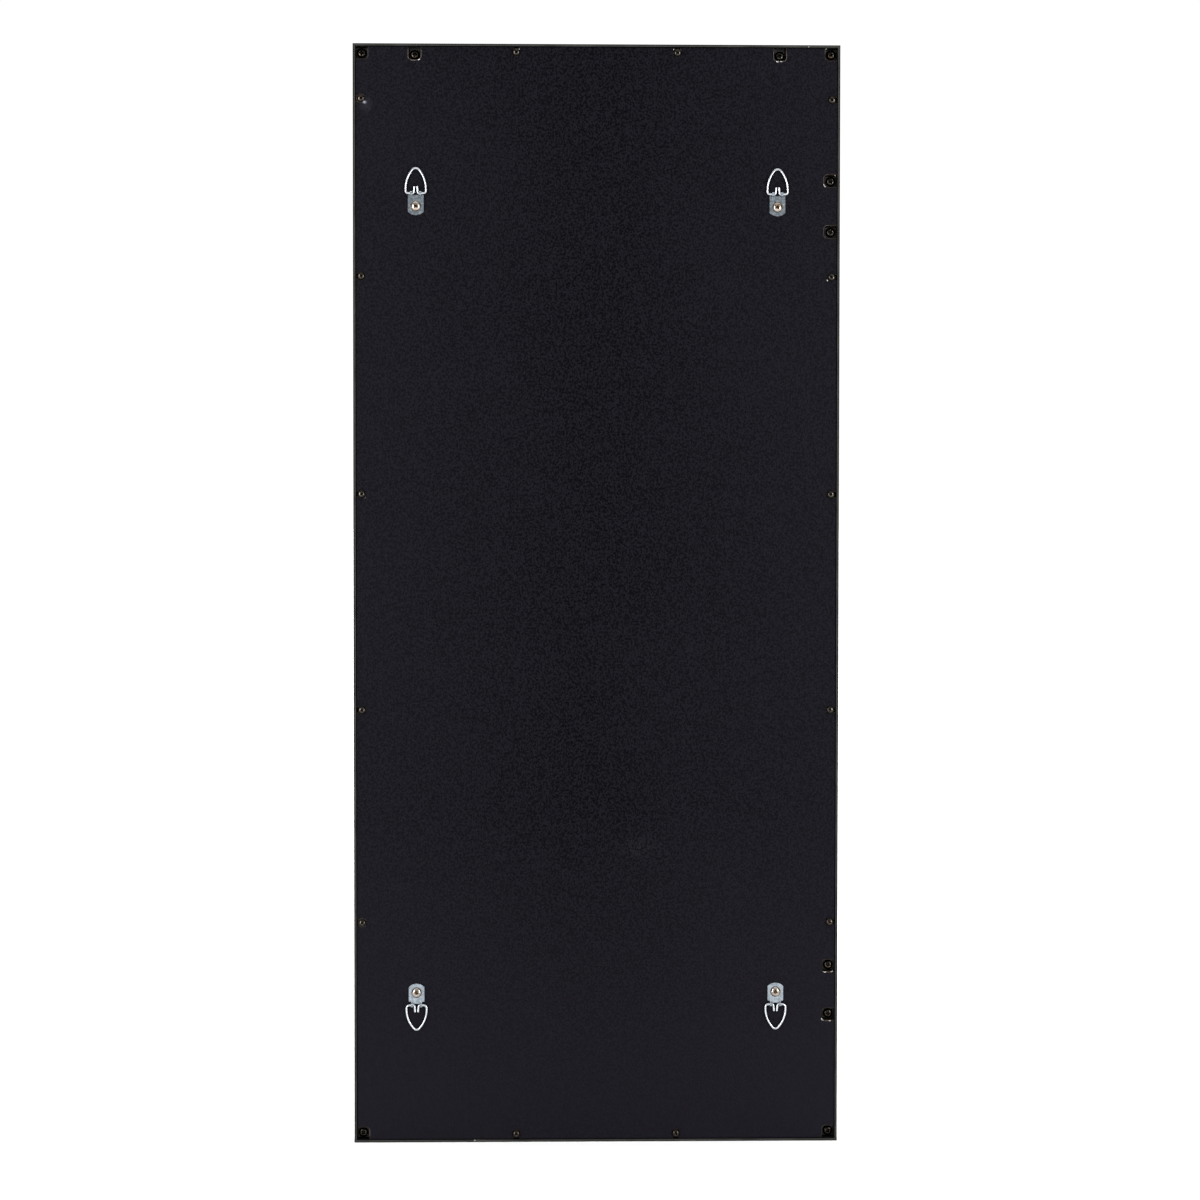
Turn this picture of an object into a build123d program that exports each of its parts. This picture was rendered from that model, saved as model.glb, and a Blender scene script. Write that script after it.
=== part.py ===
from build123d import *
from math import acos, cos, degrees, radians, sin, sqrt
import os

# Window mirror, millimetres. The origin is the centre of the back, in the plane of the
# frame's rear rim. +Z is up, +Y points out of the back towards the wall, and the glass
# looks along -Y. Left and right are as seen from the front, so left is -X.

# Overall size
width = 404.0
height = 914.0
depth = 20.0
half_width = width / 2
half_height = height / 2

# Outer frame: four lengths of folded steel angle, mitred at the corners
frame_wall = 2.0
flange_width = 20.0
bend_radius = 3.0
rim_outer_radius = 0.9
rim_inner_radius = 0.4
flange_edge_radius = 0.6

# Stack behind the front flange
sash_thickness = 3.0
tape_thickness = 1.5
glass_thickness = 3.0
glass_arris = 0.4
board_thickness = 9.0
paper_thickness = 0.3
flange_back = -depth + frame_wall
sash_back = flange_back + sash_thickness
glass_front = sash_back + tape_thickness
glass_back = glass_front + glass_thickness
board_back = glass_back + board_thickness
paper_back = board_back + paper_thickness

# Insets, all measured inwards from the outer faces of the frame
sash_inset = 3.0
sight_inset = 28.0
glass_inset = 14.0
board_inset = 2.6
tape_inset = 14.5
tape_width = 12.0

# Glazing bars
bar_width = 12.0
bar_thickness = 4.5
bar_bevel = 1.2
bar_columns = 3
bar_rows = 5
bar_front = sash_back - bar_thickness
bar_lap = bar_front + bar_thickness / 2
opening_width = width - 2 * sight_inset
opening_height = height - 2 * sight_inset
pane_width = (opening_width - (bar_columns - 1) * bar_width) / bar_columns
pane_height = (opening_height - (bar_rows - 1) * bar_width) / bar_rows
vertical_bar_x = [-(pane_width + bar_width) / 2, (pane_width + bar_width) / 2]
cross_bar_z = [(i - (bar_rows - 2) / 2) * (pane_height + bar_width) for i in range(bar_rows - 1)]

# Pan-head machine screws: small ones hold the board, large ones hold the sash
small_shank_radius = 1.75
small_head_radius = 3.25
small_head_height = 2.7
small_screw_length = 12.0
large_shank_radius = 2.0
large_head_radius = 4.0
large_head_height = 3.1
large_screw_length = 5.0
crown_drop_share = 0.45
crown_radius_share = 0.6
hole_play = 0.05

# Screw places, counted from the middle of the mirror along each edge
small_inset = 6.8
large_inset = 7.2
top_large_inset = 8.3
side_small_z = (411.7, 265.2, 84.7, -95.0, -272.7)
edge_small_x = (-66.8, 66.8)
top_large_x = (-152.0, 150.9)
left_large_z = (345.0, 302.8, -309.8, -350.7)
corner_z = half_height - large_inset

# Tapped lugs on the frame and folded ears on the sash
lug_width = 9.0
lug_reach = 10.2
lug_thickness = 2.0
ear_width = 8.0
ear_start = 3.4
ear_reach = 12.0
ear_thickness = 1.6
ear_back = glass_back + ear_thickness
ear_corner_radius = 1.0

# Cut-outs in the backing board
slot_width = 4.4
notch_width = 10.4
notch_reach = 13.3
notch_radius = 3.0
corner_notch_reach = 12.6
corner_notch_radius = 2.0
overcut = 10.0
paper_tear = 0.5

# Edge blocks that centre the glass in the frame
block_length = 20.0
block_x = 120.0
block_z = 180.0

# Hanging hardware
hanger_x = 150.0
upper_hanger_z = 333.5
lower_hanger_z = -341.8
plate_thickness = 1.0
plate_half_width = 6.5
plate_arch = 2.8
plate_length = 18.0
plate_hole_radius = 2.2
plate_corner_radius = 0.5
upper_neck = 1.3
lower_neck = 3.0
neck_half_width = 4.6
slot_half_width = 2.7
slot_depth = 1.3
wire_radius = 0.9
eye_play = 0.05
eye_radius = wire_radius + eye_play
eye_wrap = 295.0
ring_axis_y = paper_back + plate_thickness + eye_radius
hanger_screw_offset = 10.6
hanger_head_radius = 4.3
hanger_head_height = 2.6
hanger_shank_radius = 1.95
hanger_screw_length = 10.0
pilot_radius = 2.0

# Ring outline: half width, where its side starts to curve, and the curves of side and tip,
# which are rounder on the upper pair than on the lower pair
ring_half_width = 8.4
ring_side_start = 3.5
upper_ring_curves = (25.5, 3.9)
lower_ring_curves = (23.0, 2.6)
ring_corner_radius = 2.2
prong_foot_x = 1.7
prong_tip_x = 1.2
prong_length = 5.5
prong_bend_radius = 1.05

BACKWARD = Vector(0, 1, 0)
FORWARD = Vector(0, -1, 0)

os.makedirs("parts", exist_ok=True)


def save(part, name):
    part.label = name
    export_step(part, f"parts/{name}.step")


def side_plane(side, along=0.0, y=0.0):
    """Plane on one outer face of the frame: its x runs inwards and its y runs forwards."""
    origins = {
        "top": (along, y, half_height),
        "bottom": (along, y, -half_height),
        "left": (-half_width, y, along),
        "right": (half_width, y, along),
    }
    inwards = {
        "top": Vector(0, 0, -1),
        "bottom": Vector(0, 0, 1),
        "left": Vector(1, 0, 0),
        "right": Vector(-1, 0, 0),
    }
    inward = inwards[side]
    return Plane(origin=origins[side], x_dir=inward, z_dir=inward.cross(FORWARD))


def back_point(side, inset, along):
    """Position in the XZ sketch of the back, inset from one outer face of the frame."""
    if side == "top":
        return (along, half_height - inset)
    if side == "bottom":
        return (along, -half_height + inset)
    if side == "left":
        return (-half_width + inset, along)
    return (half_width - inset, along)


def back_plane(y):
    """XZ plane at one depth, with x to the right as seen from the front and y up."""
    return Plane(origin=(0, y, 0), x_dir=(1, 0, 0), z_dir=(0, -1, 0))


# Places of the screws as (side, inset, distance along that side)
small_places = [("top", small_inset, x) for x in edge_small_x]
small_places += [("bottom", small_inset, x) for x in edge_small_x]
small_places += [("left", small_inset, z) for z in side_small_z]
small_places += [("right", small_inset, z) for z in side_small_z]

corner_places = [(side, large_inset, sign * corner_z) for side in ("left", "right") for sign in (1, -1)]
edge_large_places = [("top", top_large_inset, x) for x in top_large_x]
edge_large_places += [("left", large_inset, z) for z in left_large_z]
large_places = corner_places + edge_large_places

hanger_places = {
    "upper_left": (-hanger_x, upper_hanger_z, 1, upper_neck),
    "upper_right": (hanger_x, upper_hanger_z, 1, upper_neck),
    "lower_left": (-hanger_x, lower_hanger_z, -1, lower_neck),
    "lower_right": (hanger_x, lower_hanger_z, -1, lower_neck),
}
hanger_points = [(x, z - tip_sign * hanger_screw_offset) for x, z, tip_sign, _ in hanger_places.values()]


# Outer frame rails

def make_frame_rail(side):
    length = width if side in ("top", "bottom") else height
    plane = side_plane(side)
    with BuildPart() as rail:
        with BuildSketch(plane):
            with BuildLine():
                Polyline(
                    (0, 0),
                    (frame_wall, 0),
                    (frame_wall, depth - frame_wall),
                    (flange_width, depth - frame_wall),
                    (flange_width, depth),
                    (0, depth),
                    close=True,
                )
            make_face()
        extrude(amount=length / 2, both=True)
        long_edges = rail.edges().filter_by(Axis(plane.origin, plane.z_dir))
        rounded_edges = {
            (0, depth): bend_radius,
            (frame_wall, depth - frame_wall): bend_radius - frame_wall,
            (0, 0): rim_outer_radius,
            (frame_wall, 0): rim_inner_radius,
            (flange_width, depth): flange_edge_radius,
        }
        for corner_point, radius in rounded_edges.items():
            long_edges = rail.edges().filter_by(Axis(plane.origin, plane.z_dir))
            corner_edge = long_edges.sort_by_distance(plane.from_local_coords(corner_point))[0]
            fillet(corner_edge, radius=radius)
        for end in (-1, 1):
            corner = plane.from_local_coords((0, 0, end * length / 2))
            mitre = Plane(origin=corner, z_dir=plane.z_dir * end + plane.x_dir)
            split(bisect_by=mitre, keep=Keep.BOTTOM)
    save(rail.part, f"frame_{side}_rail")


for side in ("top", "bottom", "left", "right"):
    make_frame_rail(side)


# Inner sash: full-height stiles with the top and bottom rails between them

sash_width = sight_inset - sash_inset


def make_sash_strip(name, strip_width, strip_height, centre):
    with BuildPart() as strip:
        with BuildSketch(back_plane(sash_back)):
            with Locations(centre):
                Rectangle(strip_width, strip_height)
        extrude(amount=sash_thickness)
    save(strip.part, name)


stile_height = height - 2 * sash_inset
stile_centre_x = half_width - sash_inset - sash_width / 2
rail_centre_z = half_height - sash_inset - sash_width / 2
make_sash_strip("sash_left_stile", sash_width, stile_height, (-stile_centre_x, 0))
make_sash_strip("sash_right_stile", sash_width, stile_height, (stile_centre_x, 0))
make_sash_strip("sash_top_rail", opening_width, sash_width, (0, rail_centre_z))
make_sash_strip("sash_bottom_rail", opening_width, sash_width, (0, -rail_centre_z))


# Glazing bars: bevelled flats, halved into each other where they cross, with stepped
# ends that lap over the sash and stop at the edge of the front flange

def make_glazing_bar(name, centre, upright, crossings):
    opening = opening_height if upright else opening_width
    step = sight_inset - flange_width
    length = opening + 2 * step
    with BuildPart() as bar:
        with BuildSketch(back_plane(sash_back)):
            with Locations(centre):
                Rectangle(bar_width if upright else length, length if upright else bar_width)
        extrude(amount=bar_thickness)
        front_edges = bar.faces().sort_by(Axis.Y)[0].edges()
        long_axis = Axis.Z if upright else Axis.X
        chamfer(front_edges.filter_by(long_axis), length=bar_bevel)
        with BuildSketch(back_plane(sash_back)):
            for end in (-1, 1):
                reach = end * (opening + step) / 2
                place = (centre[0], reach) if upright else (reach, centre[1])
                with Locations(place):
                    Rectangle(bar_width if upright else step, step if upright else bar_width)
        extrude(amount=sash_thickness, mode=Mode.SUBTRACT)
        lap_plane = back_plane(bar_lap if upright else sash_back)
        with BuildSketch(lap_plane):
            for crossing in crossings:
                place = (centre[0], crossing) if upright else (crossing, centre[1])
                with Locations(place):
                    Rectangle(bar_width, bar_width)
        extrude(amount=bar_thickness / 2, mode=Mode.SUBTRACT)
    save(bar.part, name)


for bar_name, x in zip(("vertical_bar_left", "vertical_bar_right"), vertical_bar_x):
    make_glazing_bar(bar_name, (x, 0), True, cross_bar_z)
for number, z in enumerate(reversed(cross_bar_z), start=1):
    make_glazing_bar(f"cross_bar_{number}", (0, z), False, vertical_bar_x)


# Mirror glass, with its foam tape in front and its edge blocks around it

with BuildPart() as mirror_glass:
    with BuildSketch(back_plane(glass_back)):
        Rectangle(width - 2 * glass_inset, height - 2 * glass_inset)
    extrude(amount=glass_thickness)
    chamfer(mirror_glass.faces().sort_by(Axis.Y)[0].edges(), length=glass_arris)
save(mirror_glass.part, "mirror_glass")

tape_long = height - 2 * tape_inset
tape_short = width - 2 * tape_inset - 2 * tape_width
tape_x = half_width - tape_inset - tape_width / 2
tape_z = half_height - tape_inset - tape_width / 2
tape_strips = {
    "glass_tape_left": (tape_width, tape_long, (-tape_x, 0)),
    "glass_tape_right": (tape_width, tape_long, (tape_x, 0)),
    "glass_tape_top": (tape_short, tape_width, (0, tape_z)),
    "glass_tape_bottom": (tape_short, tape_width, (0, -tape_z)),
}
for tape_name, (tape_w, tape_h, tape_centre) in tape_strips.items():
    with BuildPart() as glass_tape:
        with BuildSketch(back_plane(glass_front)):
            with Locations(tape_centre):
                Rectangle(tape_w, tape_h)
        extrude(amount=tape_thickness)
    save(glass_tape.part, tape_name)

with BuildPart() as glass_edge_blocks:
    with BuildSketch(back_plane(glass_back)):
        block_reach = glass_inset - frame_wall
        block_inset = frame_wall + block_reach / 2
        for x in (-block_x, block_x):
            with Locations(back_point("top", block_inset, x), back_point("bottom", block_inset, x)):
                Rectangle(block_length, block_reach)
        for z in (-block_z, block_z):
            with Locations(back_point("left", block_inset, z), back_point("right", block_inset, z)):
                Rectangle(block_reach, block_length)
    extrude(amount=glass_back - sash_back)
save(glass_edge_blocks.part, "glass_edge_blocks")


# Lugs welded to the frame, tapped for the screws

def make_lugs(name, places, shank_radius):
    with BuildPart() as lugs:
        for side, _, along in places:
            with BuildSketch(side_plane(side, along, glass_back)):
                with Locations(((frame_wall + lug_reach) / 2, lug_thickness / 2)):
                    Rectangle(lug_reach - frame_wall, lug_thickness)
            extrude(amount=lug_width / 2, both=True)
        with BuildSketch(back_plane(glass_back)):
            with Locations(*[back_point(*place) for place in places]):
                Circle(shank_radius + hole_play)
        extrude(amount=lug_thickness, mode=Mode.SUBTRACT)
    save(lugs.part, name)


make_lugs("board_screw_lugs", small_places, small_shank_radius)
make_lugs("sash_screw_lugs", large_places, large_shank_radius)


# Folded ears on the sash: each rises beside the glass and turns out over its lug

with BuildPart() as sash_ears:
    for side, _, along in large_places:
        with BuildSketch(side_plane(side, along, glass_back)):
            with BuildLine():
                Polyline(
                    (ear_start, 0),
                    (ear_start, -ear_thickness),
                    (ear_reach, -ear_thickness),
                    (ear_reach, glass_back - sash_back),
                    (ear_reach - ear_thickness, glass_back - sash_back),
                    (ear_reach - ear_thickness, 0),
                    close=True,
                )
            make_face()
        extrude(amount=ear_width / 2, both=True)
    tips = sash_ears.edges().filter_by(Axis.Y).filter_by(lambda e: e.length < 2 * ear_thickness)
    fillet(tips, radius=ear_corner_radius)
    with BuildSketch(back_plane(ear_back)):
        with Locations(*[back_point(*place) for place in large_places]):
            Circle(large_shank_radius + hole_play)
    extrude(amount=ear_thickness, mode=Mode.SUBTRACT)
save(sash_ears.part, "sash_ears")


# Backing board and the black paper that faces it, with the same cut-outs

board_width = width - 2 * board_inset
board_height = height - 2 * board_inset


def board_outline(tear):
    """Sketch of the board in the back plane, each cut-out larger by the given tear."""
    with BuildSketch() as outline:
        Rectangle(board_width, board_height)
        slot_reach = small_inset + slot_width / 2 + overcut
        for side, _, along in small_places:
            turn = 0 if side in ("left", "right") else 90
            slot_length = slot_reach + 2 * tear + slot_width / 2
            with Locations(back_point(side, slot_reach / 2 - overcut, along)):
                SlotOverall(slot_length, slot_width + 2 * tear, turn, mode=Mode.SUBTRACT)
        notch_depth = notch_reach + overcut
        for side, _, along in edge_large_places:
            across_edge = notch_width + 2 * tear
            into_board = notch_depth + 2 * tear
            upright = side in ("top", "bottom")
            notch_size = (across_edge, into_board) if upright else (into_board, across_edge)
            with Locations(back_point(side, notch_depth / 2 - overcut, along)):
                RectangleRounded(*notch_size, notch_radius + tear, mode=Mode.SUBTRACT)
        corner = corner_notch_reach + overcut
        for x_sign in (-1, 1):
            for z_sign in (-1, 1):
                corner_x = x_sign * (half_width + overcut - corner / 2)
                corner_y = z_sign * (half_height + overcut - corner / 2)
                with Locations((corner_x, corner_y)):
                    RectangleRounded(
                        corner + 2 * tear,
                        corner + 2 * tear,
                        corner_notch_radius + tear,
                        mode=Mode.SUBTRACT,
                    )
        with Locations(*hanger_points):
            Circle(pilot_radius, mode=Mode.SUBTRACT)
    return outline.sketch


with BuildPart() as backing_board:
    with BuildSketch(back_plane(board_back)):
        add(board_outline(0))
    extrude(amount=board_thickness)
save(backing_board.part, "backing_board")

with BuildPart() as backing_paper:
    with BuildSketch(back_plane(paper_back)):
        add(board_outline(paper_tear))
    extrude(amount=paper_thickness)
save(backing_paper.part, "backing_paper")


# Pan-head screws: one of each is turned, then set at every place

def turn_screw(head_radius, head_height, shank_radius, length):
    """One screw along +Y with the underside of its head at the origin."""
    crown_drop = crown_drop_share * head_height
    crown_radius = crown_radius_share * head_radius
    with BuildPart() as screw:
        with BuildSketch(Plane.XY):
            with BuildLine():
                Polyline(
                    (0, head_height),
                    (0, -length),
                    (shank_radius, -length),
                    (shank_radius, 0),
                    (head_radius, 0),
                    (head_radius, head_height - crown_drop),
                    (crown_radius, head_height),
                    close=True,
                )
            make_face()
        revolve(axis=Axis.Y)
    return screw.part


def set_screws(name, screw, y, points):
    with BuildPart() as screws:
        with Locations(*[(x, y, z) for x, z in points]):
            add(screw)
    save(screws.part, name)


board_screw = turn_screw(small_head_radius, small_head_height, small_shank_radius, small_screw_length)
sash_screw = turn_screw(large_head_radius, large_head_height, large_shank_radius, large_screw_length)
hanger_screw = turn_screw(hanger_head_radius, hanger_head_height, hanger_shank_radius, hanger_screw_length)

set_screws("board_screws", board_screw, paper_back, [back_point(*place) for place in small_places])
set_screws("sash_screws", sash_screw, ear_back, [back_point(*place) for place in large_places])
set_screws("hanger_screws", hanger_screw, paper_back + plate_thickness, hanger_points)


# Hanger straps: a plate on the board with two narrow tabs rolled into eyes round the ring

def make_hanger_strap(name, x, z, tip_sign, neck):
    outward = Plane(origin=(x, paper_back, z), x_dir=(1, 0, 0), z_dir=(0, -tip_sign, 0))
    tab_width = neck_half_width - slot_half_width
    tab_middle = (neck_half_width + slot_half_width) / 2
    with BuildPart() as strap:
        with BuildSketch(outward):
            with BuildLine():
                Polyline(
                    (-plate_half_width, -plate_length + plate_arch),
                    (-plate_half_width, -neck),
                    (-neck_half_width, -neck),
                    (-neck_half_width, 0),
                    (-slot_half_width, 0),
                    (-slot_half_width, -slot_depth),
                    (slot_half_width, -slot_depth),
                    (slot_half_width, 0),
                    (neck_half_width, 0),
                    (neck_half_width, -neck),
                    (plate_half_width, -neck),
                    (plate_half_width, -plate_length + plate_arch),
                )
                ThreePointArc(
                    (-plate_half_width, -plate_length + plate_arch),
                    (0, -plate_length),
                    (plate_half_width, -plate_length + plate_arch),
                )
            outline = make_face()
            shoulders = outline.vertices().sort_by(Axis.X)
            fillet([*shoulders[:2], *shoulders[-2:]], radius=plate_corner_radius)
            with Locations((0, -hanger_screw_offset)):
                Circle(plate_hole_radius, mode=Mode.SUBTRACT)
        extrude(amount=plate_thickness, dir=BACKWARD)
        for tab_x in (-tab_middle, tab_middle):
            eye_plane = Plane(
                origin=(x + tab_x, ring_axis_y, z),
                x_dir=(0, 0, tip_sign),
                z_dir=(-tip_sign, 0, 0),
            )
            outer_radius = eye_radius + plate_thickness
            end_angle = radians(eye_wrap - 90)
            with BuildSketch(eye_plane):
                with BuildLine():
                    CenterArc((0, 0), eye_radius, -90, eye_wrap)
                    CenterArc((0, 0), outer_radius, -90, eye_wrap)
                    Line((0, -outer_radius), (0, -eye_radius))
                    Line(
                        (eye_radius * cos(end_angle), eye_radius * sin(end_angle)),
                        (outer_radius * cos(end_angle), outer_radius * sin(end_angle)),
                    )
                make_face()
            extrude(amount=tab_width / 2, both=True)
    save(strap.part, f"hanger_strap_{name}")


# Hanger rings: one bent wire, egg-shaped, whose ends turn in between the eyes

def make_hanger_ring(name, x, z, tip_sign):
    side_radius, tip_radius = upper_ring_curves if tip_sign > 0 else lower_ring_curves
    ring_plane = Plane(origin=(x, ring_axis_y, z), x_dir=(1, 0, 0), z_dir=(0, -tip_sign, 0))
    side_centre_x = ring_half_width - side_radius
    centre_gap = side_radius - tip_radius
    tip_centre = ring_side_start + sqrt(centre_gap**2 - side_centre_x**2)
    side_turn = degrees(acos(-side_centre_x / centre_gap))
    blend_x = side_centre_x + side_radius * cos(radians(side_turn))
    blend_y = ring_side_start + side_radius * sin(radians(side_turn))
    with BuildPart() as ring:
        with BuildLine(ring_plane) as path:
            FilletPolyline(
                (prong_tip_x, prong_length),
                (prong_foot_x, 0),
                (ring_half_width, 0),
                (ring_half_width, ring_side_start),
                radius=(prong_bend_radius, ring_corner_radius),
            )
            CenterArc((side_centre_x, ring_side_start), side_radius, 0, side_turn)
            ThreePointArc((blend_x, blend_y), (0, tip_centre + tip_radius), (-blend_x, blend_y))
            CenterArc((-side_centre_x, ring_side_start), side_radius, 180, -side_turn)
            FilletPolyline(
                (-ring_half_width, ring_side_start),
                (-ring_half_width, 0),
                (-prong_foot_x, 0),
                (-prong_tip_x, prong_length),
                radius=(ring_corner_radius, prong_bend_radius),
            )
        centreline = path.wire()
        with BuildSketch(Plane(origin=centreline @ 0, z_dir=centreline % 0)):
            Circle(wire_radius)
        sweep(path=centreline)
    save(ring.part, f"hanger_ring_{name}")


for hanger_name, (x, z, tip_sign, neck) in hanger_places.items():
    make_hanger_strap(hanger_name, x, z, tip_sign, neck)
    make_hanger_ring(hanger_name, x, z, tip_sign)
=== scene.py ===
import bmesh
import bpy
import math
import random
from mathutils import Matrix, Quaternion, Vector


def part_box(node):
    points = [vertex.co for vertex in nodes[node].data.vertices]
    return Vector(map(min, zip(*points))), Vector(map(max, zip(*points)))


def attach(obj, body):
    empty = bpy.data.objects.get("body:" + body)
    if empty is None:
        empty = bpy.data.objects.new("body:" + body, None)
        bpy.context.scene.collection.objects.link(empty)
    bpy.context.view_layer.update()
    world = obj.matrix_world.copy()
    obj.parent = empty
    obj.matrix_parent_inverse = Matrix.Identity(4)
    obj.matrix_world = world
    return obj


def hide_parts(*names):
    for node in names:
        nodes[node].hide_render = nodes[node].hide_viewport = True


# Looks of the window mirror, in metres: surface finishes, the screws with their recesses
# and threads, and the torn edges of the backing paper. Its back faces +Y, towards the camera.

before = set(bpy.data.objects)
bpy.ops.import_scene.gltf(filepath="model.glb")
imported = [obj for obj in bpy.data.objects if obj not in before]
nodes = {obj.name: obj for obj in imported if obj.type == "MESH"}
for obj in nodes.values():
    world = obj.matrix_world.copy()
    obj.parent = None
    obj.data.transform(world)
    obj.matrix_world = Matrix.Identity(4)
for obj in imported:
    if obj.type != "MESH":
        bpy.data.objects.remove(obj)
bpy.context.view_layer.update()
MM = 0.001
SEED = 41

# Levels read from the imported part

rim_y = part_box("frame_top_rail")[1].y
paper_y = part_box("backing_paper")[1].y
board_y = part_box("backing_board")[1].y
half_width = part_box("frame_top_rail")[1].x
half_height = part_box("frame_top_rail")[1].z
floor_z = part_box("frame_bottom_rail")[0].z

# The Mix node's sockets for colours, which have the same names as its sockets for numbers

MIX_SHARE = 0
MIX_FIRST = 6
MIX_SECOND = 7
MIX_RESULT = 2


# Short calls for building node trees

class NodeWork:
    """Adds and joins the nodes of one material or world."""

    def __init__(self, tree):
        self.tree = tree

    def add(self, kind, **settings):
        node = self.tree.nodes.new(kind)
        for key, value in settings.items():
            setattr(node, key, value)
        return node

    def feed(self, socket, value):
        """Links another node's output to a socket, or sets a number or colour on it."""
        if isinstance(value, bpy.types.NodeSocket):
            self.tree.links.new(value, socket)
            return
        four_numbers = hasattr(socket.default_value, "__len__") and len(socket.default_value) == 4
        if four_numbers and len(value) == 3:
            value = (*value, 1.0)
        socket.default_value = value

    def spread(self, value, low, high, to_low=0.0, to_high=1.0, **settings):
        """Maps the span low to high onto to_low to to_high, held at both ends."""
        node = self.add("ShaderNodeMapRange", **settings)
        self.feed(node.inputs["Value"], value)
        ends = {"From Min": low, "From Max": high, "To Min": to_low, "To Max": to_high}
        for socket, number in ends.items():
            node.inputs[socket].default_value = number
        return node.outputs["Result"]

    def compute(self, operation, *values, **settings):
        node = self.add("ShaderNodeMath", operation=operation, **settings)
        for socket, value in zip(node.inputs, values):
            self.feed(socket, value)
        return node.outputs["Value"]

    def times(self, first, second):
        return self.compute("MULTIPLY", first, second)


class Surface(NodeWork):
    """One material on a Principled shader. Its fixed values are set on the shader's own sockets."""

    def __init__(self, name, **constants):
        self.material = bpy.data.materials.new(name)
        self.material.use_nodes = True
        super().__init__(self.material.node_tree)
        self.shader = self.tree.nodes["Principled BSDF"]
        self.place = self.add("ShaderNodeTexCoord").outputs["Object"]
        for socket, value in constants.items():
            self.shader.inputs[socket.replace("_", " ")].default_value = value

    def axes(self):
        """The object place, split into its x, y and z."""
        node = self.add("ShaderNodeSeparateXYZ")
        self.feed(node.inputs["Vector"], self.place)
        return node.outputs["X"], node.outputs["Y"], node.outputs["Z"]

    def stretched(self, stretch, centre=(0, 0, 0)):
        """Object place with each axis multiplied, so features get shorter along it."""
        node = self.add("ShaderNodeMapping")
        node.inputs["Scale"].default_value = stretch
        node.inputs["Location"].default_value = [-c * s for c, s in zip(centre, stretch)]
        self.feed(node.inputs["Vector"], self.place)
        return node.outputs["Vector"]

    def noise(self, per_metre, detail=2.0, roughness=0.5, stretch=(1, 1, 1), distortion=0.0):
        node = self.add("ShaderNodeTexNoise")
        self.feed(node.inputs["Vector"], self.stretched(stretch))
        node.inputs["Scale"].default_value = per_metre
        node.inputs["Detail"].default_value = detail
        node.inputs["Roughness"].default_value = roughness
        node.inputs["Distortion"].default_value = distortion
        return node.outputs["Fac"]

    def cells(self, per_metre):
        """The distance to the nearest cell's middle, and that cell's own colour."""
        node = self.add("ShaderNodeTexVoronoi")
        self.feed(node.inputs["Vector"], self.place)
        node.inputs["Scale"].default_value = per_metre
        return node.outputs["Distance"], node.outputs["Color"]

    def mix(self, share, first, second):
        """The first colour where share is 0, and the second where it is 1."""
        node = self.add("ShaderNodeMix", data_type="RGBA")
        self.feed(node.inputs[MIX_SHARE], share)
        self.feed(node.inputs[MIX_FIRST], first)
        self.feed(node.inputs[MIX_SECOND], second)
        return node.outputs[MIX_RESULT]

    def spot(self, centre, radii):
        """1 in the middle of an ellipse on the back, falling to 0 at its edge."""
        stretch = [1 / radius if radius else 0.0 for radius in radii]
        node = self.add("ShaderNodeVectorMath", operation="LENGTH")
        self.feed(node.inputs[0], self.stretched(stretch, centre))
        return self.spread(node.outputs["Value"], 1.0, 0.0)

    def bump(self, height, depth):
        """Raises the surface by up to depth metres where height is 1, on top of earlier bumps."""
        node = self.add("ShaderNodeBump")
        node.inputs["Strength"].default_value = 1.0
        node.inputs["Distance"].default_value = depth
        self.feed(node.inputs["Height"], height)
        earlier = self.shader.inputs["Normal"].links
        if earlier:
            self.feed(node.inputs["Normal"], earlier[0].from_socket)
        self.feed(self.shader.inputs["Normal"], node.outputs["Normal"])

    def colour(self, value):
        self.feed(self.shader.inputs["Base Color"], value)

    def rough(self, value):
        self.feed(self.shader.inputs["Roughness"], value)


# Black paper: where its marks are on the back, and its tones

# A pale bluish spot beside a small screw, with a fainter tail below it.
PALE_SPOT_AT = (0.1923, 0, 0.4086)
PALE_SPOT_RADII = (0.0022, 0, 0.0016)
PALE_TAIL_AT = (0.1914, 0, 0.4070)
PALE_TAIL_RADII = (0.0068, 0, 0.0076)
SMUDGE_AT = (-0.0365, 0, -0.2100)
SMUDGE_RADII = (0.022, 0, 0.013)
# Painted sheen: the paper is lightened towards its left and right sides and towards its foot, standing in
# for the side lamps' light.
SHEEN_SIDES_FROM = 0.02
SHEEN_FOOT_FROM = -0.18
SHEEN_FOOT_TO = -0.42
PAPER_PIT = (0.0003, 0.0003, 0.0007)
PAPER_RIDGE = (0.0058, 0.0054, 0.0078)
PAPER_FLECK = (0.0044, 0.0041, 0.0062)
# The paler black is both painted sheen at the sides and the tone of faint random clouding; the foot black
# is painted sheen.
SHEEN_AND_CLOUD_BLACK = (0.0086, 0.0081, 0.0114)
FOOT_SHEEN_BLACK = (0.0076, 0.0070, 0.0098)
SMUDGE_GREY = (0.026, 0.025, 0.030)
PALE_TAIL_GREY = (0.085, 0.092, 0.112)
PALE_SPOT_GREY = (0.30, 0.31, 0.35)
SPECK_GREY = (0.14, 0.14, 0.16)
SPECK_CELLS_PER_METRE = 55
SPECK_RARITY = 0.965
SPECK_REACH = 0.032
EMBOSSING_DEPTH = 0.00012


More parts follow.
